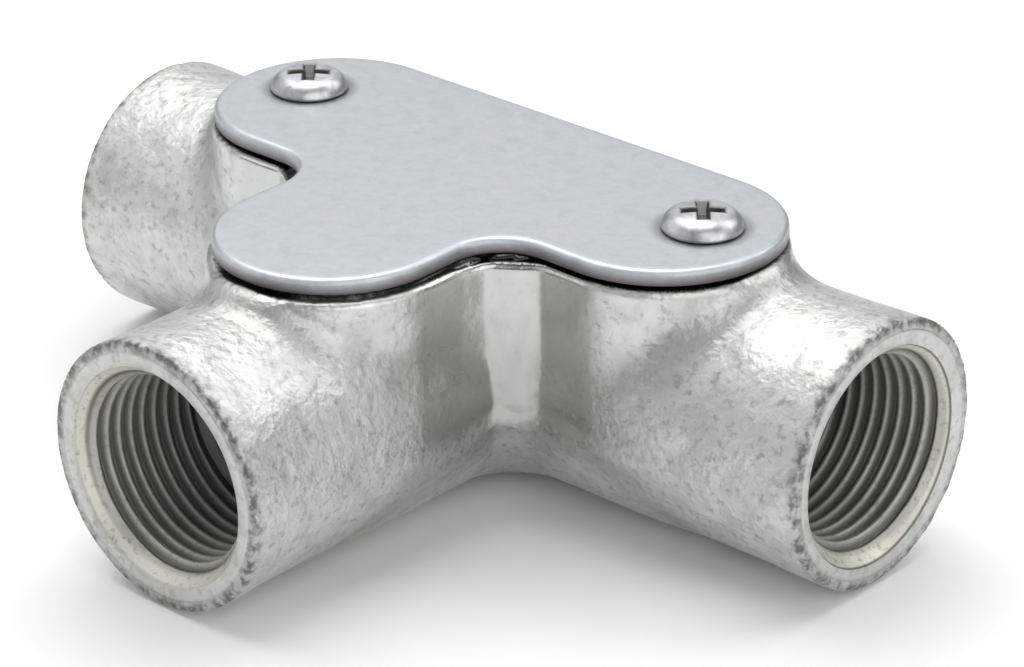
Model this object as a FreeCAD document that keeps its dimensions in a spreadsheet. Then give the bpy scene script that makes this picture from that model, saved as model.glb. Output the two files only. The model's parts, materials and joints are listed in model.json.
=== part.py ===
"""Inspection tee for 20 mm screwed steel conduit, as a parametric FreeCAD document.

A hollow iron casting has three threaded spouts, two along the run (X) and one branch (-Y). Over their
meeting point stands a low chamber, open at the top. A steel cover closes it, held by two pan-head screws
that go into tapped lugs of the casting. Lengths are in millimetres. Each piece is drawn about the point
where the run and branch axes cross, with +Z towards the cover, and is then set down so that the origin
lies under the middle of the whole part, at the level that it rests on.
"""
import FreeCAD, Part
import math
import os
import Sketcher
from FreeCAD import Placement, Rotation, Vector

OUTPUT_FOLDER = "parts"
HALF_TURN = math.pi
NEAR = 0.01

SIZES = [
    # alias, value, what it is
    ("spout_reach", 47.2, "axes' crossing to each spout's face"),
    ("barrel_r", 13.5, "outer radius of the barrels at the middle"),
    ("mouth_r", 13.0, "outer radius of the spouts at their face"),
    ("taper_start", 21.0, "axes' crossing to where the spouts begin to taper"),
    ("lip_round", 0.8, "rounding of a spout's outer edge"),
    ("crotch_r", 0.8, "inside radius of the pipe-bend blends between the run and the branch"),
    ("crotch_step", 0.03, "how far the blends' section stays inside the barrels'"),
    ("thread_r", 10.0, "radius of the thread's outer diameter, M20 x 1.5"),
    ("thread_depth", 14.6, "face to the end of the thread"),
    ("mouth_bevel", 0.9, "bevel at the mouth, radially and axially"),
    ("stop_r", 8.7, "radius of the smooth ring that stops the conduit"),
    ("stop_width", 2.2, "width of that ring"),
    ("core_r", 10.4, "radius of the hollow inside the barrels"),
    ("core_lead", 1.6, "length of the cone from the ring to the hollow"),
    ("chamber_foot", 1.0, "how far the chamber's walls reach below the run axis"),
    ("seat_height", 15.2, "run axis to the face that the cover seats on"),
    ("seat_round", 0.9, "rounding of the chamber's upper edge"),
    ("chamber_wall", 3.4, "wall of the chamber beside the inspection opening"),
    ("opening_lobe", 28.4, "run axis to the end of the inspection opening, along the branch"),
    ("opening_round", 3.0, "corner radius of the inspection opening"),
    ("cover_thick", 1.5, "thickness of the cover"),
    ("cover_edge", 0.3, "rounding of the cover's upper edge"),
    ("cover_margin", 0.3, "casting's edge past the cover's, along the run"),
    ("lobe_margin", 0.7, "casting's edge past the cover's, round the branch lobe"),
    ("cover_back", 10.7, "run axis to the cover's straight back edge"),
    ("cover_front", 13.2, "run axis to the cover's front edge beside the branch"),
    ("cover_reach", 33.4, "middle to the cover's round ends"),
    ("lobe_half", 11.4, "half the width of the cover's branch lobe"),
    ("lobe_reach", 34.6, "run axis to the end of the branch lobe"),
    ("notch_r", 5.5, "inside radius where the lobe leaves the run"),
    ("casting_notch_r", 5.8, "inside radius where the casting's chamber turns into its branch lobe"),
    ("screw_inset", 7.7, "each round end of the cover to its screw"),
    ("lug_wall", 3.3, "iron between the end of the inspection opening and a screw's tapped hole"),
    ("screw_forward", 0.4, "run axis to the line of the screws, towards the branch"),
    ("cover_hole_r", 2.25, "clearance hole in the cover, M4"),
    ("tapped_r", 2.0, "tapped hole in the lug, M4"),
    ("shank_gap", 0.05, "running gap between a screw's thread and its hole"),
    ("shank_reach", 6.0, "screw's length under its head"),
    ("shank_tip", 0.5, "bevel at the screw's tip"),
    ("head_r", 4.0, "radius of the screw's head"),
    ("head_high", 1.9, "height of the screw's head"),
    ("head_round", 1.5, "rounding of the head's upper edge"),
    ("cross_width", 1.1, "width of each arm of the cross recess"),
    ("cross_reach", 2.1, "middle of the cross recess to the end of each arm"),
    ("cross_depth", 1.3, "depth of the cross recess"),
]

doc = FreeCAD.newDocument("conduit_inspection_tee")


def make_sheet():
    """The driving dimensions, one to a row, each with its alias."""
    sheet = doc.addObject("Spreadsheet::Sheet", "sizes")
    for row, (alias, value, note) in enumerate(SIZES, start=1):
        sheet.set(f"A{row}", alias)
        sheet.set(f"B{row}", str(value))
        sheet.set(f"C{row}", note)
        sheet.setAlias(f"B{row}", alias)
    doc.recompute()
    return sheet


sheet = make_sheet()

# Derived expressions that several pieces share.
COVER_TOP = "(sizes.seat_height + sizes.cover_thick)"
SCREW_X = "(sizes.cover_reach - sizes.screw_inset)"
SCREW_Y = "(-sizes.screw_forward)"
OPENING_REACH = f"({SCREW_X} - sizes.tapped_r - sizes.lug_wall)"
# How far the crosses of both screws are turned from the run and branch directions, in degrees.
CROSS_TURN = 42
BEND_R = "(sizes.barrel_r + sizes.crotch_r)"
FRAME_Y = "(sizes.spout_reach - sizes.barrel_r) / 2"
FRAME_Z = "sizes.barrel_r"


def value_of(expression):
    """The present value of an expression on the sheet, to start a sketch's geometry from."""
    number = sheet.evalExpression(expression)
    return float(getattr(number, "Value", number))


def make_body(label, x="0", y="0", z="0", turn=0):
    """A body whose own origin lies at x, y, z from the axes' crossing, turned about Z in degrees."""
    body = doc.addObject("PartDesign::Body", label)
    body.Label = label
    body.Placement = Placement(Vector(), Rotation(Vector(0, 0, 1), turn))
    body.setExpression("Placement.Base.x", x)
    body.setExpression("Placement.Base.y", f"{FRAME_Y} + {y}")
    body.setExpression("Placement.Base.z", f"{FRAME_Z} + {z}")
    return body


def make_sketch(body, name, plane, offset=None):
    """A sketch on one of the body's own planes, raised along its normal by an expression."""
    sketch = body.newObject("Sketcher::SketchObject", name)
    support = [item for item in body.Origin.OriginFeatures if item.Role == plane][0]
    sketch.AttachmentSupport = (support, [""])
    sketch.MapMode = "FlatFace"
    if offset:
        sketch.setExpression("AttachmentOffset.Base.z", offset)
    return sketch


def fix(sketch, kind, element, point, expression):
    """Hold one coordinate of a point, or one radius, to an expression."""
    number = value_of(expression)
    if kind == "Radius":
        index = sketch.addConstraint(Sketcher.Constraint(kind, element, number))
    else:
        index = sketch.addConstraint(Sketcher.Constraint(kind, element, point, number))
    sketch.setExpression(f"Constraints[{index}]", expression)


def draw_polygon(sketch, corners):
    """A closed outline of straight lines; each corner is a pair of expressions."""
    points = [Vector(value_of(x), value_of(y), 0) for x, y in corners]
    count = len(points)
    for i in range(count):
        sketch.addGeometry(Part.LineSegment(points[i], points[(i + 1) % count]), False)
    for i in range(count):
        sketch.addConstraint(Sketcher.Constraint("Coincident", i, 2, (i + 1) % count, 1))
    for i, (x, y) in enumerate(corners):
        fix(sketch, "DistanceX", i, 1, x)
        fix(sketch, "DistanceY", i, 1, y)


def draw_round_box(sketch, x0, x1, y0, y1, radius):
    """A rectangle between four expressions, with rounded corners."""
    left, right, low, high, r = (value_of(item) for item in (x0, x1, y0, y1, radius))
    quarter = HALF_TURN / 2
    sketch.addGeometry([
        Part.LineSegment(Vector(left + r, low), Vector(right - r, low)),
        arc(Vector(right - r, low + r), r, -quarter, 0),
        Part.LineSegment(Vector(right, low + r), Vector(right, high - r)),
        arc(Vector(right - r, high - r), r, 0, quarter),
        Part.LineSegment(Vector(right - r, high), Vector(left + r, high)),
        arc(Vector(left + r, high - r), r, quarter, 2 * quarter),
        Part.LineSegment(Vector(left, high - r), Vector(left, low + r)),
        arc(Vector(left + r, low + r), r, 2 * quarter, 3 * quarter),
    ], False)
    for i in range(8):
        sketch.addConstraint(Sketcher.Constraint("Tangent", i, 2, (i + 1) % 8, 1))
    for i in (0, 4):
        sketch.addConstraint(Sketcher.Constraint("Horizontal", i))
    for i in (2, 6):
        sketch.addConstraint(Sketcher.Constraint("Vertical", i))
    for kind, line, expression in (("DistanceY", 0, y0), ("DistanceX", 2, x1),
                                   ("DistanceY", 4, y1), ("DistanceX", 6, x0)):
        fix(sketch, kind, line, 1, expression)
    fix(sketch, "Radius", 1, None, radius)
    for corner in (3, 5, 7):
        sketch.addConstraint(Sketcher.Constraint("Equal", 1, corner))


def draw_circle(sketch, x, y, radius):
    """A circle about x, y."""
    centre = Vector(value_of(x), value_of(y), 0)
    index = sketch.addGeometry(Part.Circle(centre, Vector(0, 0, 1), value_of(radius)), False)
    fix(sketch, "DistanceX", index, 3, x)
    fix(sketch, "DistanceY", index, 3, y)
    fix(sketch, "Radius", index, None, radius)


def arc(centre, radius, start, end):
    """An arc of a circle about centre, from one angle to another in radians."""
    return Part.ArcOfCircle(Part.Circle(centre, Vector(0, 0, 1), radius), start, end)


def draw_tee_outline(sketch, back, front, reach, half, lobe, notch):
    """The T-shaped plan: a run with round ends, straight at the back, and a round-ended lobe in front.

    back, front and lobe are distances from the run axis, reach and half from the branch axis, and notch
    is the inside radius of the two corners.
    """
    y_back, y_front = value_of(back), -value_of(front)
    x_half, r_notch = value_of(half), value_of(notch)
    r_end = (y_back - y_front) / 2
    x_end, y_end = value_of(reach) - r_end, (y_back + y_front) / 2
    x_notch, y_notch = x_half + r_notch, y_front - r_notch
    y_lobe = x_half - value_of(lobe)
    shapes = [
        Part.LineSegment(Vector(x_end, y_back), Vector(-x_end, y_back)),
        arc(Vector(-x_end, y_end), r_end, HALF_TURN / 2, HALF_TURN * 1.5),
        Part.LineSegment(Vector(-x_end, y_front), Vector(-x_notch, y_front)),
        arc(Vector(-x_notch, y_notch), r_notch, 0, HALF_TURN / 2),
        Part.LineSegment(Vector(-x_half, y_notch), Vector(-x_half, y_lobe)),
        arc(Vector(0, y_lobe), x_half, HALF_TURN, HALF_TURN * 2),
        Part.LineSegment(Vector(x_half, y_lobe), Vector(x_half, y_notch)),
        arc(Vector(x_notch, y_notch), r_notch, HALF_TURN / 2, HALF_TURN),
        Part.LineSegment(Vector(x_notch, y_front), Vector(x_end, y_front)),
        arc(Vector(x_end, y_end), r_end, -HALF_TURN / 2, HALF_TURN / 2),
    ]
    sketch.addGeometry(shapes, False)
    # A notch's arc runs against the outline, so its ends are joined the other way round.
    joins = [(0, 2, 1, 1), (1, 2, 2, 1), (2, 2, 3, 2), (3, 1, 4, 1), (4, 2, 5, 1),
             (5, 2, 6, 1), (6, 2, 7, 2), (7, 1, 8, 1), (8, 2, 9, 1), (9, 2, 0, 1)]
    for join in joins:
        sketch.addConstraint(Sketcher.Constraint("Tangent", *join))
    for line in (0, 2, 8):
        sketch.addConstraint(Sketcher.Constraint("Horizontal", line))
    for line in (4, 6):
        sketch.addConstraint(Sketcher.Constraint("Vertical", line))
    fix(sketch, "DistanceY", 0, 1, back)
    fix(sketch, "DistanceY", 2, 1, f"-({front})")
    fix(sketch, "DistanceY", 8, 1, f"-({front})")
    end_x = f"({reach}) - (({back}) + ({front})) / 2"
    fix(sketch, "DistanceX", 1, 3, f"-({end_x})")
    fix(sketch, "DistanceX", 9, 3, end_x)
    fix(sketch, "DistanceX", 4, 1, f"-({half})")
    fix(sketch, "DistanceX", 6, 1, half)
    fix(sketch, "DistanceY", 5, 3, f"({half}) - ({lobe})")
    fix(sketch, "Radius", 3, None, notch)
    fix(sketch, "Radius", 7, None, notch)


def revolve(body, sketch, name, kind="PartDesign::Revolution", axis="H_Axis"):
    """Turn a sketch fully about one of its own axes, adding or cutting."""
    feature = body.newObject(kind, name)
    feature.Profile = sketch
    feature.ReferenceAxis = (sketch, [axis])
    feature.Angle = 360
    sketch.Visibility = False
    return feature


def pad(body, sketch, name, length):
    """Raise a sketch by a length."""
    feature = body.newObject("PartDesign::Pad", name)
    feature.Profile = sketch
    feature.setExpression("Length", length)
    return feature


def pocket(body, sketch, name, length):
    """Cut a sketch down by a length, and make sure that it does cut."""
    doc.recompute()
    before = body.Shape.Volume
    feature = body.newObject("PartDesign::Pocket", name)
    feature.Profile = sketch
    feature.setExpression("Length", length)
    doc.recompute()
    if feature.Shape.Volume >= before:
        raise RuntimeError(f"{name} cuts nothing")
    return feature


def round_edges(body, name, radius, chosen):
    """Round the edges of the body's last feature that the test picks out."""
    doc.recompute()
    base = body.Tip
    names = [f"Edge{i}" for i, edge in enumerate(base.Shape.Edges, start=1) if chosen(edge)]
    feature = body.newObject("PartDesign::Fillet", name)
    feature.Base = (base, names)
    feature.setExpression("Radius", radius)
    doc.recompute()
    return feature


def shell_outside(body):
    """The barrels with their tapering spouts, the blends between them, and the chamber on top."""
    run = make_sketch(body, "run_outside", "XZ_Plane")
    draw_polygon(run, [("-sizes.spout_reach", "0"), ("sizes.spout_reach", "0"),
                       ("sizes.spout_reach", "sizes.mouth_r"), ("sizes.taper_start", "sizes.barrel_r"),
                       ("-sizes.taper_start", "sizes.barrel_r"), ("-sizes.spout_reach", "sizes.mouth_r")])
    revolve(body, run, "run_barrel")
    branch = make_sketch(body, "branch_outside", "YZ_Plane")
    draw_polygon(branch, [("-sizes.spout_reach", "0"), ("0", "0"), ("0", "sizes.barrel_r"),
                          ("-sizes.taper_start", "sizes.barrel_r"), ("-sizes.spout_reach", "sizes.mouth_r")])
    revolve(body, branch, "branch_barrel")

    # Each blend is a quarter of a pipe bend, which leaves the run and enters the branch smoothly.
    for side, sign, turn in (("right", 1, 90), ("left", -1, 0)):
        bend = body.newObject("PartDesign::AdditiveTorus", f"{side}_crotch")
        bend.MapMode = "Deactivated"
        bend.Angle3 = 90
        bend.Placement = Placement(Vector(), Rotation(Vector(0, 0, 1), turn))
        bend.setExpression("Radius1", BEND_R)
        bend.setExpression("Radius2", "sizes.barrel_r - sizes.crotch_step")
        bend.setExpression("Placement.Base.x", f"{sign} * {BEND_R}")
        bend.setExpression("Placement.Base.y", f"-{BEND_R}")

    plan = make_sketch(body, "chamber_plan", "XY_Plane", "-sizes.chamber_foot")
    draw_tee_outline(plan, "sizes.cover_back + sizes.cover_margin", "sizes.cover_front + sizes.cover_margin",
                     "sizes.cover_reach + sizes.cover_margin", "sizes.lobe_half + sizes.lobe_margin",
                     "sizes.lobe_reach + sizes.lobe_margin", "sizes.casting_notch_r")
    pad(body, plan, "chamber", "sizes.seat_height + sizes.chamber_foot")
    doc.recompute()

    face, seat = value_of("sizes.spout_reach"), value_of("sizes.seat_height")
    round_edges(body, "spout_lips", "sizes.lip_round",
                lambda edge: abs(farthest_out(edge.BoundBox.Center) - face) < NEAR)
    round_edges(body, "seat_edge", "sizes.seat_round", lambda edge: edge.BoundBox.ZMin > seat - NEAR)


def farthest_out(point):
    """How far a point lies out along the spout that it is nearest to."""
    return max(abs(point.x), -point.y)


def spout_bore(end, sign):
    """Half section of one spout's bore, from its face inwards: bevel, thread, stop ring, hollow."""
    def at(depth):
        return f"{end} - {sign} * ({depth})"
    ring = "sizes.thread_depth + sizes.stop_width"
    return [(at("0"), "sizes.thread_r + sizes.mouth_bevel"),
            (at("sizes.mouth_bevel"), "sizes.thread_r"),
            (at("sizes.thread_depth"), "sizes.thread_r"),
            (at("sizes.thread_depth"), "sizes.stop_r"),
            (at(ring), "sizes.stop_r"),
            (at(f"{ring} + sizes.core_lead"), "sizes.core_r")]


def shell_inside(body):
    """The inspection opening, the hollow, the bores that carry the threads, and the tapped holes."""
    run_opening = make_sketch(body, "run_opening_plan", "XY_Plane", "sizes.seat_height")
    draw_round_box(run_opening, f"-{OPENING_REACH}", OPENING_REACH,
                   "sizes.chamber_wall - sizes.cover_front - sizes.cover_margin",
                   "sizes.cover_back + sizes.cover_margin - sizes.chamber_wall", "sizes.opening_round")
    pocket(body, run_opening, "run_opening", "sizes.seat_height")
    half = "(sizes.lobe_half + sizes.lobe_margin - sizes.chamber_wall)"
    branch_opening = make_sketch(body, "branch_opening_plan", "XY_Plane", "sizes.seat_height")
    draw_round_box(branch_opening, f"-{half}", half, "-sizes.opening_lobe", "0", "sizes.opening_round")
    pocket(body, branch_opening, "branch_opening", "sizes.seat_height")

    run = make_sketch(body, "run_inside", "XZ_Plane")
    right = spout_bore("sizes.spout_reach", 1)
    left = spout_bore("-sizes.spout_reach", -1)
    draw_polygon(run, [("sizes.spout_reach", "0")] + right + left[::-1] + [("-sizes.spout_reach", "0")])
    revolve(body, run, "run_bore", "PartDesign::Groove")
    branch = make_sketch(body, "branch_inside", "YZ_Plane")
    front = spout_bore("-sizes.spout_reach", -1)
    draw_polygon(branch, [("-sizes.spout_reach", "0")] + front + [("0", "sizes.core_r"), ("0", "0")])
    revolve(body, branch, "branch_bore", "PartDesign::Groove")

    for side, sign in (("right", ""), ("left", "-")):
        hole = make_sketch(body, f"{side}_tapped_plan", "XY_Plane", "sizes.seat_height")
        draw_circle(hole, f"{sign}{SCREW_X}", SCREW_Y, "sizes.tapped_r")
        pocket(body, hole, f"{side}_tapped_hole", "sizes.seat_height")


def make_tee_body():
    """The casting, one piece of malleable iron."""
    body = make_body("tee_body")
    shell_outside(body)
    shell_inside(body)
    return body


def make_cover():
    """The flat steel cover that follows the chamber's plan, with two clearance holes."""
    body = make_body("cover", z="sizes.seat_height")
    plan = make_sketch(body, "cover_plan", "XY_Plane")
    draw_tee_outline(plan, "sizes.cover_back", "sizes.cover_front", "sizes.cover_reach",
                     "sizes.lobe_half", "sizes.lobe_reach", "sizes.notch_r")
    pad(body, plan, "plate", "sizes.cover_thick")
    doc.recompute()
    top = value_of("sizes.cover_thick")
    round_edges(body, "plate_edge", "sizes.cover_edge", lambda edge: edge.BoundBox.ZMin > top - NEAR)
    holes = make_sketch(body, "hole_plan", "XY_Plane", "sizes.cover_thick")
    for sign in ("", "-"):
        draw_circle(holes, f"{sign}{SCREW_X}", SCREW_Y, "sizes.cover_hole_r")
    pocket(body, holes, "screw_holes", "sizes.cover_thick")
    return body


def make_screw(label, x):
    """A pan-head M4 screw, its thread a plain shank, with a cross recess in its head."""
    body = make_body(label, x=x, y=SCREW_Y, z=COVER_TOP, turn=CROSS_TURN)
    section = make_sketch(body, f"{label}_section", "XZ_Plane")
    shank = "(sizes.tapped_r - sizes.shank_gap)"
    draw_polygon(section, [("0", "-sizes.shank_reach"), (f"{shank} - sizes.shank_tip", "-sizes.shank_reach"),
                           (shank, "sizes.shank_tip - sizes.shank_reach"), (shank, "0"),
                           ("sizes.head_r", "0"), ("sizes.head_r", "sizes.head_high"),
                           ("0", "sizes.head_high")])
    revolve(body, section, f"{label}_turned", axis="V_Axis")
    doc.recompute()
    top = value_of("sizes.head_high")
    round_edges(body, f"{label}_pan", "sizes.head_round", lambda edge: edge.BoundBox.ZMin > top - NEAR)
    half_width = "sizes.cross_width / 2"
    arms = (("cross_arms", "sizes.cross_reach", half_width), ("upright_arms", half_width, "sizes.cross_reach"))
    for name, half_x, half_y in arms:
        plan = make_sketch(body, f"{label}_{name}_plan", "XY_Plane", "sizes.head_high")
        draw_polygon(plan, [(f"-({half_x})", f"-({half_y})"), (half_x, f"-({half_y})"),
                            (half_x, half_y), (f"-({half_x})", half_y)])
        pocket(body, plan, f"{label}_{name}", "sizes.cross_depth")
    return body


def check_document(pieces):
    """Stop if any object failed, or a piece isn't one valid solid."""
    doc.recompute()
    for item in doc.Objects:
        if "Invalid" in item.State or "Error" in item.State:
            raise RuntimeError(f"{item.Name} failed: {item.State}")
    for piece in pieces:
        if piece.Shape.isNull() or not piece.Shape.isValid() or len(piece.Shape.Solids) != 1:
            raise RuntimeError(f"{piece.Label} isn't one valid solid")


pieces = [make_tee_body(), make_cover(), make_screw("right_screw", SCREW_X),
          make_screw("left_screw", f"-{SCREW_X}")]
check_document(pieces)
os.makedirs(OUTPUT_FOLDER, exist_ok=True)
for piece in pieces:
    piece.Shape.exportStep(os.path.join(OUTPUT_FOLDER, f"{piece.Label}.step"))
    box = piece.Shape.BoundBox
    print(f"{piece.Label}: {piece.Shape.Volume:.1f} mm3, x {box.XMin:.2f} {box.XMax:.2f}, "
          f"y {box.YMin:.2f} {box.YMax:.2f}, z {box.ZMin:.2f} {box.ZMax:.2f}")
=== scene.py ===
"""Looks of the conduit inspection tee: a galvanised casting, its steel cover and the two screws.

Every shape is worked out in millimetres about the point where the run and branch axes cross,
with +X along the run, -Y out along the branch and +Z up to the cover.
"""
import json
import math

import bpy
import mathutils
import numpy as np
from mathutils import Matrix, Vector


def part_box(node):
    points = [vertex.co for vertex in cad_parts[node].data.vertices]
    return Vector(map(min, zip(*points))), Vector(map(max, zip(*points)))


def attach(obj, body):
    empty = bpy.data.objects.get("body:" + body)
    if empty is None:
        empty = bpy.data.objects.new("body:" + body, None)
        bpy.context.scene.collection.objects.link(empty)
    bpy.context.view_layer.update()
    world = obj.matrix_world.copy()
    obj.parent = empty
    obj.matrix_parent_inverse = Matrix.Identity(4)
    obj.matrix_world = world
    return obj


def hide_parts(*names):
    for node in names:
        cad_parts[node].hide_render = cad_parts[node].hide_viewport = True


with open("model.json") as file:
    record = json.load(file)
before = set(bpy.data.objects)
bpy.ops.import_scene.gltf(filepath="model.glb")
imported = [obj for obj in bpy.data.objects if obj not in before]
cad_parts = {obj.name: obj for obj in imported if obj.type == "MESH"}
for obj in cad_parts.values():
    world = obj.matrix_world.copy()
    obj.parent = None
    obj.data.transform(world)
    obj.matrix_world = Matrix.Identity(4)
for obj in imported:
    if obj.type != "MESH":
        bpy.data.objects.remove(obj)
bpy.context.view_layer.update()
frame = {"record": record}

# ---- The casting ----------------------------------------------------------------------------
# Malleable iron, cast in sand in one piece and dipped in molten zinc: three barrels whose run and
# branch meet as pipe bends, and a low chamber over the crossing with lugs for the cover's screws.
mouth_places = {mount["name"]: mount["pos_m"] for mount in frame["record"]["mounts"]}
CROSSING = np.array([mouth_places["branch_spout"][0], *mouth_places["right_spout"][1:]])
FACE_OUT = 1000 * (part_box("tee_body")[1].x - CROSSING[0])
SEAT_UP = 1000 * (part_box("cover")[0].z - CROSSING[2])
SCREW_AT = 1000 * (np.mean(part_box("right_screw"), axis=0) - CROSSING)[:2]
# Outside of the barrels: where the waist and the rim start, how long they take to grow, and how deep.
BARREL_R, BEND_R, BEND_TUBE_R = 13.5, 14.3, 13.47
WAIST_START, WAIST_RUN, WAIST_DEPTH = 24.0, 12.0, 0.42
RIM_START, RIM_RUN, RIM_RISE = 40.0, 5.5, 0.16
# Chamber in plan, from the crossing: its walls, the branch lobe, and the notches between them.
CHAMBER_BACK, CHAMBER_FRONT, CHAMBER_REACH = 11.0, 13.5, 33.7
LOBE_HALF, LOBE_REACH, CHAMBER_NOTCH = 12.1, 35.3, 5.8
NOTCH_X, NOTCH_Y = LOBE_HALF + CHAMBER_NOTCH, -CHAMBER_FRONT - CHAMBER_NOTCH
# Inside: the hollow of the barrels, the wall and corners of the opening, and the tapped holes.
CORE_R, CHAMBER_WALL, OPENING_REACH, OPENING_LOBE, OPENING_ROUND = 10.4, 3.4, 20.4, 28.4, 3.0
TAPPED_R = 2.0
LIP_ROUND, RIPPLE, CAST_STEP = 0.35, 0.05, 0.52


def round_join(a, b, radius):
    """Nearer of two distances, with the hollow corner between them filled to a radius."""
    return (np.maximum(radius, np.minimum(a, b))
            - np.hypot(np.maximum(radius - a, 0), np.maximum(radius - b, 0)))


def round_cut(a, b, radius):
    """What two shapes share, with the sharp edge between them rounded to a radius."""
    return -round_join(-a, -b, radius)


def lozenge(x, y, half_length, radius):
    """Distance in plan to a bar with round ends: a straight core, less the radius round it."""
    return np.hypot(x - np.clip(x, -half_length, half_length), y) - radius


def tee_plan(x, y, back, front, reach, half, lobe, notch):
    """Distance in plan to the T outline: the run's bar and the branch's, joined by the notch radius."""
    middle, end = (back - front) / 2, (back + front) / 2
    bar = lozenge(x, y - middle, reach - end, end)
    well_inside = -8.0
    spur = np.hypot(x, y - np.clip(y, half - lobe, well_inside)) - half
    return round_join(bar, spur, notch)


def ease(t):
    """Smooth step from 0 to 1: t^2 (3 - 2t), with t held between 0 and 1."""
    t = np.clip(t, 0, 1)
    return t * t * (3 - 2 * t)


def barrel(along, across, z):
    """Distance to one barrel: radius = barrel - waist + rim, each eased in along the way out."""
    out = np.abs(along)
    waist = WAIST_DEPTH * ease((out - WAIST_START) / WAIST_RUN)
    rim_rise = RIM_RISE * ease((out - RIM_START) / RIM_RUN)
    return np.hypot(across, z) - (BARREL_R - waist + rim_rise)


def barrels(x, y, z):
    """Distance to the run and the branch, blended by two quarter bends whose tubes keep 0.03 inside.

    A fillet softens the inner corners: 3.0 from 8 below the axes to 1 below, fading out over 4 beyond.
    """
    fillet = 3.0 * ease((z + 12.0) / 4.0) * ease((3.0 - z) / 4.0) + 0.01
    both = round_join(barrel(x, y, z), np.maximum(barrel(y, x, z), y), fillet)
    side, ahead = np.abs(x) - BEND_R, -BEND_R - y
    bend = np.hypot(np.hypot(side, ahead) - BEND_R, z) - BEND_TUBE_R
    return np.minimum(both, np.maximum(bend, np.maximum(side, ahead)))


def notch_flat(x, y, facing, share):
    """Distance in plan to a flat that is a chord of the notch's arc.

    Facing is the flat's bearing from the run and share is half the part of the arc that it spans, both in
    degrees. It is the face of a slab 1.2 wider than the chord, which elsewhere lies inside the walls.
    """
    facing, share = math.radians(facing), math.radians(share)
    dx, dy = np.abs(x) - NOTCH_X, y - NOTCH_Y
    out = dx * math.cos(facing) - dy * math.sin(facing)
    across = np.abs(dx * math.sin(facing) + dy * math.cos(facing))
    front, back = out + CHAMBER_NOTCH * math.cos(share), -8.0 - out
    ends = across - CHAMBER_NOTCH * math.sin(share) - 0.6
    return np.maximum(np.maximum(front, back), ends)


def chamber_walls(x, y):
    """Distance in plan to the chamber's outer walls, with two flats where each notch was dressed."""
    walls = tee_plan(x, y, CHAMBER_BACK, CHAMBER_FRONT, CHAMBER_REACH, LOBE_HALF, LOBE_REACH, CHAMBER_NOTCH)
    for facing, share in ((56, 24), (16, 16)):
        walls = round_join(walls, notch_flat(x, y, facing, share), 0.2)
    return walls


def seat_level(wall, y):
    """Height of the seat: ground flat inside, and as cast in a band 1.1 to 1.6 wide along its edge.

    The band lies 0.4 lower, and 0.6 lower on the branch lobe.
    """
    band = 0.4 + 0.2 * ease((-14.0 - y) / 4.0)
    return SEAT_UP - 0.02 - band * np.clip((wall + 1.6) / 0.5, 0, 1)


def outer_skin(x, y, z):
    """Barrels and chamber with the fillet at the chamber's root.

    The fillet grows from 0.5 beside the barrels, where wall and barrel nearly face the same way, to 3.0
    where the chamber's round ends stand square on them: radius = 0.5 + 2.5 * share of the way round. Below
    the axes, under the notches, it is up to 2.0 more.
    """
    square_on = np.maximum(np.clip((np.abs(x) - 21.5) / 12.0, 0, 1),
                           np.clip((LOBE_HALF - LOBE_REACH - y) / 12.0, 0, 1))
    wall = chamber_walls(x, y)
    box = round_cut(wall, z - seat_level(wall, y), 0.8)
    box = round_cut(box, -2.6 - z, 2.6)
    return round_join(barrels(x, y, z), box, 0.5 + 2.5 * square_on + 2.0 * ease(-z / 2.5))


def ripple(x, y, z):
    """Slow unevenness of a dipped casting: a sum of slanted waves 4 to 9 long."""
    total = 0
    for kx, ky, kz, phase in ((1.13, 0.42, -0.31, 0.3), (-0.37, 0.98, 0.55, 1.9), (0.21, -0.77, 1.21, 4.0),
                              (0.84, 0.66, 0.72, 2.6), (-0.92, 0.31, 0.88, 5.2)):
        total = total + np.sin(kx * x + ky * y + kz * z + phase)
    return total / 5


def round_box(x, y, low_x, high_x, low_y, high_y, radius):
    """Distance in plan to a rectangle with rounded corners."""
    dx = np.abs(x - (low_x + high_x) / 2) - (high_x - low_x) / 2 + radius
    dy = np.abs(y - (low_y + high_y) / 2) - (high_y - low_y) / 2 + radius
    return np.hypot(np.maximum(dx, 0), np.maximum(dy, 0)) + np.minimum(np.maximum(dx, dy), 0) - radius


def bore(along, across, z):
    """Distance to a barrel's hollow, which opens to a cone in the last 2 before the face."""
    cone = np.clip(np.abs(along) - (FACE_OUT - 2.0), 0, 3)
    return np.hypot(across, z) - CORE_R - 0.55 * cone


def hollow(x, y, z):
    """Distance to the space inside: both bores, the inspection opening and the tapped holes."""
    bores = np.minimum(bore(x, y, z), np.maximum(bore(y, x, z), y))
    front, back, side = (edge - CHAMBER_WALL for edge in (CHAMBER_FRONT, CHAMBER_BACK, LOBE_HALF))
    opening = np.minimum(round_box(x, y, -OPENING_REACH, OPENING_REACH, -front, back, OPENING_ROUND),
                         round_box(x, y, -side, side, -OPENING_LOBE, 0.0, OPENING_ROUND))
    opening = np.maximum(opening, -z)
    taps = np.maximum(np.hypot(np.abs(x) - SCREW_AT[0], y - SCREW_AT[1]) - TAPPED_R, -z)
    return np.minimum(round_join(bores, opening, 1.0), taps)


def casting_form(x, y, z):
    """The whole casting: skin with ripple, cut off 0.015 short of the spouts' faces, less the hollow."""
    body = outer_skin(x, y, z) + RIPPLE * (1 + ripple(x, y, z))
    face = np.maximum(np.abs(x), -y) - (FACE_OUT - 0.015)
    body = round_cut(body, face + 0 * z, LIP_ROUND)
    return round_cut(body, -hollow(x, y, z), 0.25)


def slope_of(form, points, e):
    """Slope of a form at each point, by central differences."""
    columns = []
    for axis in np.eye(3) * e:
        columns.append((form(*(points + axis).T) - form(*(points - axis).T)) / (2 * e))
    return np.stack(columns, 1)


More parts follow.
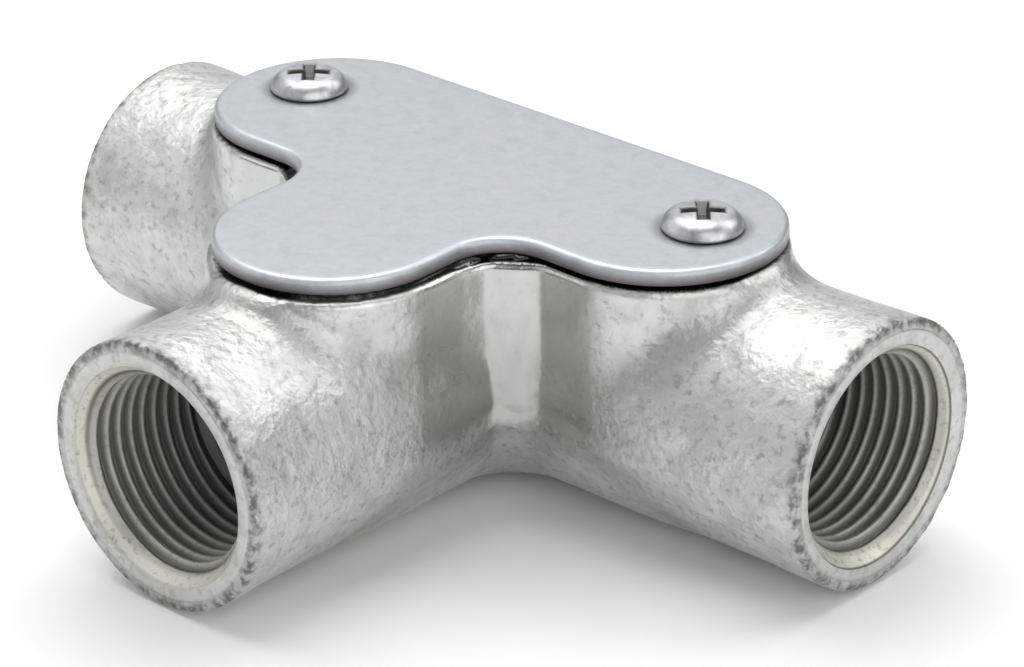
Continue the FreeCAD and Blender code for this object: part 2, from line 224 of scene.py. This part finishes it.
def skin(form, low, high, step):
    """Closed mesh of the surface where form is zero, between two corners.

    One point for each cell that the surface crosses, at the mean of the cell's edge crossings, and one
    quad round each cell edge that changes sign. Each point then slides down the slope onto the
    surface: p - form * slope / |slope|^2.
    """
    low = np.asarray(low, float)
    marks = [np.arange(low[i], high[i] + step, step) for i in range(3)]
    value = form(*np.meshgrid(*marks, indexing="ij", sparse=True))
    shape = np.array(value.shape)
    inside = value < 0
    crossings, rings = [], []
    for axis in range(3):
        first = np.moveaxis(inside, axis, 0)[:-1]
        second = np.moveaxis(inside, axis, 0)[1:]
        spots = np.stack(np.nonzero(first != second), 1)
        spots = np.insert(spots[:, 1:], axis, spots[:, 0], axis=1)
        ahead = spots + np.eye(3, dtype=int)[axis]
        near, far = value[tuple(spots.T)], value[tuple(ahead.T)]
        place = spots + np.outer(near / (near - far), np.eye(3)[axis])
        b, c = np.eye(3, dtype=int)[(axis + 1) % 3], np.eye(3, dtype=int)[(axis + 2) % 3]
        ring = np.stack([spots - b - c, spots - c, spots, spots - b], 1)
        ring[near > 0] = ring[near > 0][:, ::-1]
        crossings.append(np.repeat(place, 4, axis=0))
        rings.append(ring)
    rings, crossings = np.concatenate(rings), np.concatenate(crossings)
    number = np.ravel_multi_index(rings.reshape(-1, 3).T, shape)
    kept, index, count = np.unique(number, return_inverse=True, return_counts=True)
    index = index.ravel()
    points = np.stack([np.bincount(index, crossings[:, i]) for i in range(3)], 1) / count[:, None]
    points = low + points * step
    for _ in range(6):
        slope = slope_of(form, points, 0.02)
        pull = form(*points.T) / np.maximum((slope ** 2).sum(1), 0.3)
        points -= np.clip(pull, -step / 2, step / 2)[:, None] * slope
    return points, index.reshape(-1, 4)


def make_piece(name, points, quads, normals=None):
    """A mesh object from points in millimetres about the crossing, smooth, with its place in its mesh."""
    mesh = bpy.data.meshes.new(name)
    mesh.from_pydata(points / 1000 + CROSSING, [], quads)
    mesh.polygons.foreach_set("use_smooth", np.ones(len(mesh.polygons), bool))
    mesh.update()
    if normals is not None:
        mesh.normals_split_custom_set_from_vertices(normals)
    piece = bpy.data.objects.new(name, mesh)
    bpy.context.scene.collection.objects.link(piece)
    return piece


def paint(piece, name, values):
    """Store one number for each point, for the material to read."""
    layer = piece.data.attributes.new(name, "FLOAT", "POINT")
    layer.data.foreach_set("value", np.clip(values, 0, 1).astype(np.float32))


points, quads = skin(casting_form, (-49, -49, -15), (49, 15, 17), CAST_STEP)
slope = slope_of(casting_form, points, 0.12)
slope /= np.linalg.norm(slope, axis=1, keepdims=True)
casting = make_piece("cast_shell", points, quads, slope)
x, y, z = points.T
tube, wall = barrels(x, y, z), chamber_walls(x, y)
out = np.maximum(np.abs(x), -y)
off_rim = np.hypot(out - FACE_OUT, np.maximum(0, -tube - 0.25))
paint(casting, "rim", np.exp(-((off_rim / 0.75) ** 2)))
paint(casting, "wall", (0.6 - np.abs(wall)) / 0.5 * np.clip((tube - 0.2) / 0.8, 0, 1))
# Painted shade: the crevice mask darkens the casting's colour in the fillets where the chamber wall meets
# the barrels.
paint(casting, "crevice", np.exp(-(((tube - 0.4) / 1.6) ** 2)) * np.exp(-(((wall - 0.4) / 1.6) ** 2)))
paint(casting, "face", np.clip((out - FACE_OUT + 0.25) / 0.2, 0, 1))
from_notch = np.hypot(np.abs(x) - NOTCH_X, y - NOTCH_Y)
paint(casting, "notch", ease((8.2 - from_notch) / 1.2) * ease((z + 2.0) / 1.5))
# Painted shadow: the band along the seat's edge, under the cover's edge, is coloured near black.
in_band = ease((wall + 1.75) / 0.25) * ease((-0.15 - wall) / 0.3)
paint(casting, "gap", in_band * ease((z - SEAT_UP + 0.72) / 0.12))


def feed(tree, value, socket):
    """Link an output to a socket, or set the socket to a plain value."""
    if isinstance(value, bpy.types.NodeSocket):
        tree.links.new(value, socket)
    else:
        socket.default_value = value


def node(tree, kind, settings=None, **sockets):
    """A node with its settings and what feeds its sockets, each named, or numbered after an underscore."""
    made = tree.nodes.new(kind)
    for key, value in (settings or {}).items():
        setattr(made, key, value)
    for key, value in sockets.items():
        feed(tree, value, made.inputs[int(key[1:]) if key.startswith("_") else key])
    return made


def math_of(tree, operation, first, second=0.0, third=0.0):
    """One arithmetic node."""
    return node(tree, "ShaderNodeMath", {"operation": operation}, _0=first, _1=second, _2=third).outputs[0]


def noise(tree, place, scale, detail, roughness, distortion=0.0):
    """One noise pattern, 0 to 1."""
    return node(tree, "ShaderNodeTexNoise", {"normalize": True}, Vector=place, Scale=scale, Detail=detail,
                Roughness=roughness, Distortion=distortion).outputs[0]


def ramp(tree, factor, *stops):
    """A colour ramp: stops are (position, value) for a grey or (position, (r, g, b))."""
    made = tree.nodes.new("ShaderNodeValToRGB")
    tree.links.new(factor, made.inputs[0])
    marks = made.color_ramp.elements
    for i, (position, colour) in enumerate(stops):
        mark = marks[i] if i < 2 else marks.new(position)
        mark.position = position
        mark.color = (*(colour if isinstance(colour, tuple) else (colour,) * 3), 1)
    return made.outputs[0]


def blend_colours(tree, factor, first, second):
    """Mix two colours, or outputs, by a factor."""
    made = node(tree, "ShaderNodeMix", {"data_type": "RGBA"}, _0=factor)
    for number, value in ((6, first), (7, second)):
        feed(tree, (*value, 1) if isinstance(value, tuple) else value, made.inputs[number])
    return made.outputs[2]


def spread(tree, factor, low, high, at_low, at_high):
    """A value that goes from one to another as the factor goes from low to high."""
    return node(tree, "ShaderNodeMapRange", _0=factor, _1=low, _2=high, _3=at_low, _4=at_high).outputs[0]


def attribute(tree, name, share=1.0):
    """A number stored on the piece's points, times a share."""
    stored = node(tree, "ShaderNodeAttribute", {"attribute_name": name}).outputs["Fac"]
    return stored if share == 1.0 else math_of(tree, "MULTIPLY", stored, share)


def zinc_grain_group():
    """Crinkled grain of hot-dip zinc: height, and masks for its mottling and its dark flecks."""
    group = bpy.data.node_groups.new("zinc grain", "ShaderNodeTree")
    face = group.interface
    for name, start in (("Grain", 1400.0), ("Mottle", 260.0)):
        face.new_socket(name, in_out="INPUT", socket_type="NodeSocketFloat").default_value = start
    for name in ("Height", "Mottle", "Fleck"):
        face.new_socket(name, in_out="OUTPUT", socket_type="NodeSocketFloat")
    into, out_of = group.nodes.new("NodeGroupInput"), group.nodes.new("NodeGroupOutput")
    place = node(group, "ShaderNodeTexCoord").outputs["Object"]
    fine = into.outputs["Grain"]
    crinkle = noise(group, place, fine, 3.0, 0.5, 0.15)
    peel = noise(group, place, math_of(group, "MULTIPLY", fine, 0.40), 1.5, 0.5)
    mottle = noise(group, place, into.outputs["Mottle"], 5.0, 0.62, 0.4)
    fleck = noise(group, place, math_of(group, "MULTIPLY", fine, 0.95), 3.0, 0.6)
    group.links.new(math_of(group, "ADD", peel, crinkle), out_of.inputs["Height"])
    group.links.new(mottle, out_of.inputs["Mottle"])
    group.links.new(fleck, out_of.inputs["Fleck"])
    return group


zinc_grain = zinc_grain_group()


def new_zinc(name, metallic, grain, mottle):
    """A zinc material: its shader with what is the same all over, and the grain's outputs at two scales."""
    material = bpy.data.materials.new(name)
    material.use_nodes = True
    tree = material.node_tree
    shader = tree.nodes["Principled BSDF"]
    shader.inputs["Metallic"].default_value = metallic
    grains = node(tree, "ShaderNodeGroup", {"node_tree": zinc_grain}, Grain=grain, Mottle=mottle)
    return material, tree, shader, grains.outputs


def finish_zinc(tree, shader, colour, roughness, height, depth):
    """Feed the shader its colour, roughness and bump, the bump's depth in metres."""
    bump = node(tree, "ShaderNodeBump", Strength=1.0, Distance=depth, Height=height)
    tree.links.new(colour, shader.inputs["Base Color"])
    tree.links.new(roughness, shader.inputs["Roughness"])
    tree.links.new(bump.outputs[0], shader.inputs["Normal"])


cast_zinc, tree, shader, grain = new_zinc("hot-dip zinc on casting", 1.0, 1200.0, 300.0)
pale_grey = ramp(tree, grain["Mottle"], (0.30, (0.52, 0.528, 0.505)), (0.50, (0.63, 0.637, 0.612)),
                 (0.70, (0.71, 0.715, 0.695)))
flecks = ramp(tree, grain["Fleck"], (0.31, 0.50), (0.46, 0.0))
speckled = blend_colours(tree, flecks, pale_grey, (0.24, 0.25, 0.23))
evened = blend_colours(tree, attribute(tree, "notch", 0.75), speckled, (0.54, 0.55, 0.52))
# Painted shade in the fillets and the crotch, from the crevice mask.
shade_painted = blend_colours(tree, attribute(tree, "crevice", 0.50), evened, (0.30, 0.31, 0.28))
faced = blend_colours(tree, attribute(tree, "face", 0.35), shade_painted, (0.46, 0.46, 0.42))
chipped = ramp(tree, grain["Fleck"], (0.40, 0.92), (0.60, 0.15))
worn = math_of(tree, "MULTIPLY", attribute(tree, "rim"), chipped)
edged = blend_colours(tree, worn, faced, (0.14, 0.14, 0.13))
# Painted shadow in the gap under the cover's edge, from the gap mask.
painted_gap_shadow = blend_colours(tree, attribute(tree, "gap"), edged, (0.03, 0.03, 0.028))
rough = spread(tree, grain["Mottle"], 0.3, 0.7, 0.50, 0.39)
rough = math_of(tree, "SUBTRACT", rough, attribute(tree, "wall", 0.07))
rough = math_of(tree, "SUBTRACT", rough, attribute(tree, "notch", 0.15))
rough = math_of(tree, "ADD", rough, attribute(tree, "rim", 0.2))
calm = math_of(tree, "MULTIPLY", math_of(tree, "SUBTRACT", 1.0, attribute(tree, "wall", 0.35)),
               math_of(tree, "SUBTRACT", 1.0, attribute(tree, "notch", 0.60)))
finish_zinc(tree, shader, painted_gap_shadow, rough, math_of(tree, "MULTIPLY", grain["Height"], calm), 0.00014)
casting.data.materials.append(cast_zinc)
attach(casting, "casting")
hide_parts("tee_body")

# ---- The threaded mouths --------------------------------------------------------------------
# Cut into each spout after galvanising: a bevel, a right-hand M20 x 1.5 conduit thread, and the
# smooth ring that stops the conduit, turned bright and left with a film of cutting oil.
THREAD_R, RIDGE, PITCH, THREAD_END = 10.0, 0.81, 1.5, 14.55
BEVEL_R, BEVEL_SLOPE = 10.85, 0.75
TURN_STEPS = 192


def mouth_profile():
    """Depth and radius of the mouth's section, once round: face, thread, stop ring, buried back."""
    face = [(0.0, 12.2), (0.0, 11.9)]
    thread = [(depth, None) for depth in np.arange(0.0, THREAD_END, PITCH / 12)]
    stop = [(14.6, 8.8), (14.72, 8.7), (15.6, 8.7), (16.6, 8.7), (16.8, 8.75), (18.4, 10.4)]
    back = [(18.45, 10.9), (14.0, 11.2), (8.0, 11.4), (2.5, 11.8), (0.4, 12.2)]
    rows = face + thread + stop + back
    return (np.array([depth for depth, _ in rows]),
            np.array([np.nan if radius is None else radius for _, radius in rows]))


def ridge_of(depth, angle):
    """Height of the thread between crests, 0 to 1: a flattened cosine that winds once a pitch."""
    return 0.5 + 0.5 * np.tanh(0.9 * np.cos(2 * math.pi * depth / PITCH - angle)) / math.tanh(0.9)


def grid_quads(rows, columns, closed):
    """Quads of a grid of points that joins up round each row and, where closed, from last row to first."""
    i, j = np.meshgrid(np.arange(rows if closed else rows - 1), np.arange(columns), indexing="ij")
    next_i, next_j = (i + 1) % rows, (j + 1) % columns
    corners = [i * columns + j, i * columns + next_j, next_i * columns + next_j, next_i * columns + j]
    return np.stack(corners, -1).reshape(-1, 4)


def cut_mouth(name, inward, aside, burr):
    """Ring of the mouth: at each depth and angle, the larger of the bevel and the thread's radius.

    Thread radius = outer radius - ridge; bevel radius = start + aside * cos(angle) - slope * depth, where
    aside is how far the hand-held reamer ran off the thread's axis. Burr is how dark its edge is.
    """
    depth, plain = mouth_profile()
    angle = np.linspace(0, 2 * math.pi, TURN_STEPS, endpoint=False)
    depths, angles = np.meshgrid(depth, angle, indexing="ij")
    ridge = ridge_of(depths, angles)
    fade = np.clip((THREAD_END - 0.05 - depths) / 1.2, 0, 1)
    bevel = BEVEL_R + aside * np.cos(angles) - BEVEL_SLOPE * depths
    cut = np.maximum(THREAD_R - RIDGE * ridge * fade, bevel)
    threaded = np.isnan(plain)[:, None]
    radius = np.where(threaded, cut, plain[:, None])
    inward = np.array(inward, float)
    first = np.array([-inward[1], inward[0], 0.0])
    second = np.cross(inward, first)
    spokes = np.cos(angles)[..., None] * first + np.sin(angles)[..., None] * second
    points = (depths - FACE_OUT)[..., None] * inward + radius[..., None] * spokes
    rows = len(depth)
    quads = grid_quads(rows, TURN_STEPS, closed=True)[:, ::-1]
    piece = make_piece(name, points.reshape(-1, 3), quads)
    paint(piece, "crest", np.where(threaded, ridge * fade, 0.6).ravel())
    paint(piece, "lead", np.clip((radius - 9.95) / 0.25, 0, 1).ravel())
    paint(piece, "depth", (depths / 18.0).ravel())
    paint(piece, "burr", (burr * (threaded & (depths < 0.2))).ravel())
    paint(piece, "face", (depths < 0.01).ravel())
    piece.data.materials.append(cast_zinc)
    piece.data.materials.append(cut_zinc)
    inside_face = np.repeat(~np.isin(np.arange(rows), (0, 1, rows - 1)), TURN_STEPS)
    piece.data.polygons.foreach_set("material_index", inside_face.astype(np.int32))
    return piece


cut_zinc, tree, shader, grain = new_zinc("cut thread", 0.6, 1700.0, 420.0)
# Painted shade: the thread's colour goes dark toward its roots and lighter on its crests.
groove = ramp(tree, attribute(tree, "crest"), (0.10, (0.13, 0.13, 0.11)), (0.55, (0.34, 0.34, 0.30)),
              (0.90, (0.52, 0.52, 0.47)))
# Painted shade: the colour goes darker the deeper it lies in the mouth.
deep_shaded = blend_colours(tree, attribute(tree, "depth", 0.75), groove, (0.08, 0.08, 0.07))
led = blend_colours(tree, attribute(tree, "lead"), deep_shaded, (0.72, 0.70, 0.62))
flecks = ramp(tree, grain["Fleck"], (0.32, 0.45), (0.46, 0.0))
dotted = blend_colours(tree, flecks, led, (0.17, 0.17, 0.15))
burred = blend_colours(tree, attribute(tree, "burr"), dotted, (0.08, 0.08, 0.07))
rough = spread(tree, grain["Mottle"], 0.3, 0.7, 0.56, 0.44)
finish_zinc(tree, shader, burred, rough, grain["Height"], 0.00002)
for name, inward, aside, burr in (("right_mouth", (-1, 0, 0), 0.45, 0.8),
                                  ("left_mouth", (1, 0, 0), 0.1, 0.5),
                                  ("branch_mouth", (0, 1, 0), -0.1, 0.2)):
    mouth = cut_mouth(name, inward, aside, burr)
    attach(mouth, "casting")
    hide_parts("tee_body")

# ---- The cover ------------------------------------------------------------------------------
# Blanked from zinc-coated steel sheet, 1.5 thick: the punch rolls the upper edge over and shears
# the side, and two clearance holes take the screws.
COVER_UP = 1000 * (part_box("cover")[1].z - CROSSING[2])
THICK, ROLL, HOLE_R = 1.5, 0.6, 2.25
BACK, FRONT, REACH, HALF, LOBE, NOTCH = 10.7, 13.2, 33.4, 11.4, 34.6, 5.5


def arc_points(centre, radius, start, end, count, hollow=False):
    """Points and outward normals along an arc, angles in degrees."""
    angle = np.radians(np.linspace(start, end, count))
    ray = np.stack([np.cos(angle), np.sin(angle)], 1)
    return np.array(centre) + radius * ray, -ray if hollow else ray


def cover_outline():
    """The plate's outline in plan, anticlockwise, with its outward normals."""
    middle, end = (BACK - FRONT) / 2, (BACK + FRONT) / 2
    notch_x, notch_y = HALF + NOTCH, -FRONT - NOTCH
    parts = [arc_points((REACH - end, middle), end, -90, 90, 97),
             arc_points((end - REACH, middle), end, 90, 270, 97),
             arc_points((-notch_x, notch_y), NOTCH, 90, 0, 33, hollow=True),
             arc_points((0, HALF - LOBE), HALF, 180, 360, 97),
             arc_points((notch_x, notch_y), NOTCH, 180, 90, 33, hollow=True)]
    return np.concatenate([p for p, _ in parts]), np.concatenate([n for _, n in parts])


def edge_profile():
    """Section of the sheared edge, from under the plate round to its top: (inset, height)."""
    lower = [(1.2, 0.0), (0.10, 0.0), (0.03, 0.03), (0.0, 0.12)]
    rolled = [(ROLL * (1 - math.cos(a)), THICK - ROLL * (1 - math.sin(a))) for a in
              np.radians(np.linspace(0, 90, 7))]
    return np.array(lower + rolled + [(1.2, THICK)])


def hole_profile():
    """Section of a clearance hole's edge, from the top down: (inset into the plate, height)."""
    return np.array([(0.7, THICK), (0.12, THICK), (0.03, THICK - 0.04), (0.0, THICK - 0.14),
                     (0.0, 0.12), (0.06, 0.0), (0.7, 0.0)])


def carry(outline, normals, profile):
    """The profile carried along a closed outline: point = outline - inset * normal, raised by height."""
    inset, height = profile.T
    plan = outline[None] - inset[:, None, None] * normals[None]
    rise = np.broadcast_to(height[:, None, None], plan.shape[:2] + (1,))
    return np.concatenate([plan, rise], 2)


def fill(points, loops, up):
    """Triangles between the outer loop and the hole loops, facing up or, with up = -1, down.

    A triangle lies in a hole, and is left out, where one hole's loop holds all its corners.
    """
    flat = np.concatenate(loops)
    loop_of = np.repeat(np.arange(len(loops)), [len(loop) for loop in loops])
    ring_edges, start = [], 0
    for loop in loops:
        ring_edges += [(start + k, start + (k + 1) % len(loop)) for k in range(len(loop))]
        start += len(loop)
    found = mathutils.geometry.delaunay_2d_cdt([mathutils.Vector(points[k][:2]) for k in flat],
                                               ring_edges, [], 1, 1e-6)
    corners = np.array(found[2])
    owners = loop_of[corners]
    in_hole = (owners[:, 0] > 0) & (owners == owners[:, :1]).all(1)
    return flat[corners[~in_hole]][:, ::up].tolist()


def cover_mesh():
    """Points and faces of the plate: the strips of its edge and its two holes, closed above and below."""
    turn = np.radians(np.arange(0, 360, 6))[::-1]
    spokes = np.stack([np.cos(turn), np.sin(turn)], 1)
    strips = [carry(*cover_outline(), edge_profile())]
    for side in (1, -1):
        hole = SCREW_AT * np.array([side, 1]) + HOLE_R * spokes
        strips.append(carry(hole, -spokes, hole_profile())[::-1])
    points, faces, tops, bottoms, start = [], [], [], [], 0
    for strip in strips:
        rows, columns = strip.shape[:2]
        faces += (start + grid_quads(rows, columns, closed=False)).tolist()
        bottoms.append(start + np.arange(columns))
        tops.append(start + np.arange((rows - 1) * columns, rows * columns))
        points.append(strip.reshape(-1, 3))
        start += rows * columns
    points = np.concatenate(points)
    faces += fill(points, tops, 1) + fill(points, bottoms, -1)
    return points + np.array([0, 0, COVER_UP - THICK]), faces


points, faces = cover_mesh()
cover = make_piece("cover_plate", points, faces)
inset = -tee_plan(points[:, 0], points[:, 1], BACK, FRONT, REACH, HALF, LOBE, NOTCH)
paint(cover, "edge", 1 - inset / 0.35)
# The side mask makes the plate's side darker towards its lower edge.
paint(cover, "side", np.clip(1 - inset / 0.3, 0, 1) * ease((COVER_UP - 0.35 - points[:, 2]) / 0.6))

sheet_zinc, tree, shader, grain = new_zinc("zinc sheet", 1.0, 1500.0, 520.0)
sheet_tone = ramp(tree, grain["Mottle"], (0.30, (0.49, 0.515, 0.535)), (0.50, (0.555, 0.58, 0.605)),
                  (0.70, (0.61, 0.632, 0.655)))
flecks = ramp(tree, grain["Fleck"], (0.24, 0.45), (0.33, 0.0))
speckled = blend_colours(tree, flecks, sheet_tone, (0.28, 0.29, 0.30))
place = node(tree, "ShaderNodeSeparateXYZ", _0=node(tree, "ShaderNodeTexCoord").outputs["Object"]).outputs
# Painted shadow: a dark ring on the plate round each screw head, strongest at the head's edge.
across = math_of(tree, "SUBTRACT", math_of(tree, "ABSOLUTE", place["X"]), SCREW_AT[0] / 1000)
along = math_of(tree, "SUBTRACT", place["Y"], CROSSING[1] + SCREW_AT[1] / 1000)
reach = math_of(tree, "SQRT", math_of(tree, "ADD", math_of(tree, "MULTIPLY", across, across),
                                      math_of(tree, "MULTIPLY", along, along)))
painted_shadow_ring = spread(tree, reach, 0.0040, 0.0052, 0.75, 0.0)
shade_painted = blend_colours(tree, painted_shadow_ring, speckled, (0.16, 0.17, 0.18))
# The plate's side goes darker towards its lower edge, from the side mask.
side_darker_low = blend_colours(tree, attribute(tree, "side"), shade_painted, (0.17, 0.145, 0.155))
rough = spread(tree, grain["Mottle"], 0.3, 0.7, 0.46, 0.36)
rough = math_of(tree, "ADD", rough, attribute(tree, "edge", 0.16))
finish_zinc(tree, shader, side_darker_low, rough, grain["Height"], 0.000014)
cover.data.materials.append(sheet_zinc)
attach(cover, "cover")
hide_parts("cover")

# ---- The screws -----------------------------------------------------------------------------
# Two M4 pan heads in bright zinc with a cross recess, headed and thread-rolled from wire. They pass
# the cover's clearance holes and turn into the tapped lugs of the casting.
HEAD_R, HEAD_HIGH, CROWN = 4.0, 1.9, 0.03
SHANK_R, SHANK_REACH, SHANK_TIP, SCREW_PITCH = 1.95, 6.0, 0.5, 0.7
CROSS_TURN, CROSS_LONG, CROSS_WIDE, CROSS_FLOOR = math.radians(42), 2.1, 0.56, 0.6


def cross_plan(x, y, z):
    """Distance in plan to the cross recess: two bars that shorten and narrow with their depth."""
    turned_x = x * math.cos(CROSS_TURN) + y * math.sin(CROSS_TURN)
    turned_y = y * math.cos(CROSS_TURN) - x * math.sin(CROSS_TURN)
    deep = HEAD_HIGH - z
    long_half, wide_half = CROSS_LONG - 0.45 * deep, CROSS_WIDE - 0.1 * deep
    return np.minimum(np.maximum(np.abs(turned_x) - long_half, np.abs(turned_y) - wide_half),
                      np.maximum(np.abs(turned_x) - wide_half, np.abs(turned_y) - long_half))


def screw_form(x, y, z):
    """A pan head on a threaded shank, less its cross recess, with z from under the head.

    Head: crown = height - 0.03 reach^2, rounded by 1.5 above and 0.35 below. Shank: a groove 0.32 deep
    that winds once a pitch from 0.6 under the head, and a bevelled tip.
    """
    reach, angle = np.hypot(x, y), np.arctan2(y, x)
    head = round_cut(reach - HEAD_R, z - HEAD_HIGH + CROWN * reach ** 2, 1.5)
    head = round_cut(head, -z, 0.35)
    winding = 0.5 + 0.5 * np.cos(2 * math.pi * z / SCREW_PITCH - angle)
    groove = 0.32 * winding * np.clip((-0.6 - z) / 0.4, 0, 1)
    tip = (reach - SHANK_R - z - SHANK_REACH + SHANK_TIP) * 0.7
    shank = np.maximum(np.maximum(reach - SHANK_R + groove, tip), -SHANK_REACH - z)
    solid = np.minimum(head, np.maximum(shank, z - 0.5))
    return round_cut(solid, -np.maximum(cross_plan(x, y, z), CROSS_FLOOR - z), 0.14)


points, quads = skin(screw_form, (-4.3, -4.3, -6.3), (4.3, 4.3, 2.3), 0.12)
screw_normals = slope_of(screw_form, points, 0.04)
screw_normals /= np.linalg.norm(screw_normals, axis=1, keepdims=True)
# Painted shade: the recess mask darkens the head inside the cross and over the cross's rounded rims.
recess = ease((0.22 - cross_plan(*points.T)) / 0.12) * (points[:, 2] > 0.5)

screw_zinc, tree, shader, grain = new_zinc("bright zinc", 1.0, 1500.0, 500.0)
bright = ramp(tree, grain["Mottle"], (0.38, (0.42, 0.43, 0.45)), (0.60, (0.66, 0.66, 0.67)))
# Painted shade in the cross recess, from the recess mask.
recess_shaded = blend_colours(tree, attribute(tree, "recess"), bright, (0.24, 0.25, 0.235))
rough = spread(tree, grain["Mottle"], 0.3, 0.7, 0.43, 0.33)
finish_zinc(tree, shader, recess_shaded, rough, grain["Height"], 0.00001)
for side, sign in (("right", 1), ("left", -1)):
    placed = points + np.array([sign * SCREW_AT[0], SCREW_AT[1], COVER_UP])
    screw = make_piece(f"{side}_screw_metal", placed, quads, screw_normals)
    paint(screw, "recess", recess)
    screw.data.materials.append(screw_zinc)
    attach(screw, f"{side}_screw")
    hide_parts(f"{side}_screw")

# ---- The studio -----------------------------------------------------------------------------
# A pale floor under large soft lights, and a long lens that looks along 42 degrees from the
# branch's own direction, 26 degrees down.
mesh = bpy.data.meshes.new("studio_floor")
mesh.from_pydata([(-3, -3, 0), (3, -3, 0), (3, 3, 0), (-3, 3, 0)], [], [(0, 1, 2, 3)])
floor = bpy.data.objects.new("studio_floor", mesh)
bpy.context.scene.collection.objects.link(floor)
material = bpy.data.materials.new("studio floor")
material.use_nodes = True
tree = material.node_tree
shader = tree.nodes["Principled BSDF"]
shader.inputs["Roughness"].default_value = 0.7
paper = noise(tree, node(tree, "ShaderNodeTexCoord").outputs["Object"], 40.0, 2.0, 0.5)
tree.links.new(ramp(tree, paper, (0.3, 0.93), (0.7, 0.95)), shader.inputs["Base Color"])
floor.data.materials.append(material)

world = bpy.data.worlds.new("studio")
world.use_nodes = True
world.node_tree.nodes["Background"].inputs[0].default_value = (0.92, 0.95, 1.0, 1)
world.node_tree.nodes["Background"].inputs[1].default_value = 0.13
bpy.context.scene.world = world


def soft_light(name, place, width, height, watts):
    """An oval soft box at a place in metres, facing the object's middle."""
    lamp = bpy.data.lights.new(name, "AREA")
    lamp.shape, lamp.size, lamp.size_y, lamp.energy = "ELLIPSE", width, height, watts
    box = bpy.data.objects.new(name, lamp)
    box.location = place
    facing = mathutils.Vector((0, 0, 0.02)) - box.location
    box.rotation_euler = facing.to_track_quat("-Z", "Y").to_euler()
    bpy.context.scene.collection.objects.link(box)


soft_light("top_box", (-0.20, 0.10, 0.80), 1.0, 1.0, 6.2)
soft_light("back_box", (-0.60, 0.67, 0.44), 1.1, 0.9, 1.5)
soft_light("far_right_box", (0.32, 0.64, 0.64), 0.7, 0.6, 2.2)
soft_light("left_box", (-0.75, -0.30, 0.40), 0.9, 0.8, 1.5)
soft_light("near_right_box", (0.75, -0.35, 0.45), 1.2, 0.9, 3.6)
soft_light("near_left_box", (-0.25, -0.85, 0.45), 1.2, 0.9, 1.4)
soft_light("right_box", (0.90, 0.25, 0.35), 1.0, 0.9, 1.2)

# The camera: its bearing from the crossing, its roll, its distance, and how far aside and above it stands.
AZIMUTH, ELEVATION, ROLL = math.radians(41.968), math.radians(26.174), math.radians(-0.317)
DISTANCE, ASIDE, ABOVE = 0.3838, 0.002176, -0.002964
back_ray = np.array([math.sin(AZIMUTH) * math.cos(ELEVATION), -math.cos(AZIMUTH) * math.cos(ELEVATION),
                     math.sin(ELEVATION)])
level = np.array([math.cos(AZIMUTH), math.sin(AZIMUTH), 0])
upright = np.cross(back_ray, level)
lens_right = level * math.cos(ROLL) + upright * math.sin(ROLL)
lens_up = upright * math.cos(ROLL) - level * math.sin(ROLL)
lens = bpy.data.cameras.new("studio_camera")
lens.sensor_width, lens.lens = 36.0, 136.3746
lens.shift_x, lens.shift_y = -0.011748, 0.004844
lens.clip_start = 0.01
camera = bpy.data.objects.new("studio_camera", lens)
stand = np.eye(4)
stand[:3] = np.stack([lens_right, lens_up, back_ray,
                      back_ray * DISTANCE + lens_right * ASIDE + lens_up * ABOVE + CROSSING], 1)
camera.matrix_world = mathutils.Matrix(stand.tolist())
bpy.context.scene.collection.objects.link(camera)
bpy.context.scene.camera = camera
bpy.context.scene.view_settings.view_transform = "Standard"
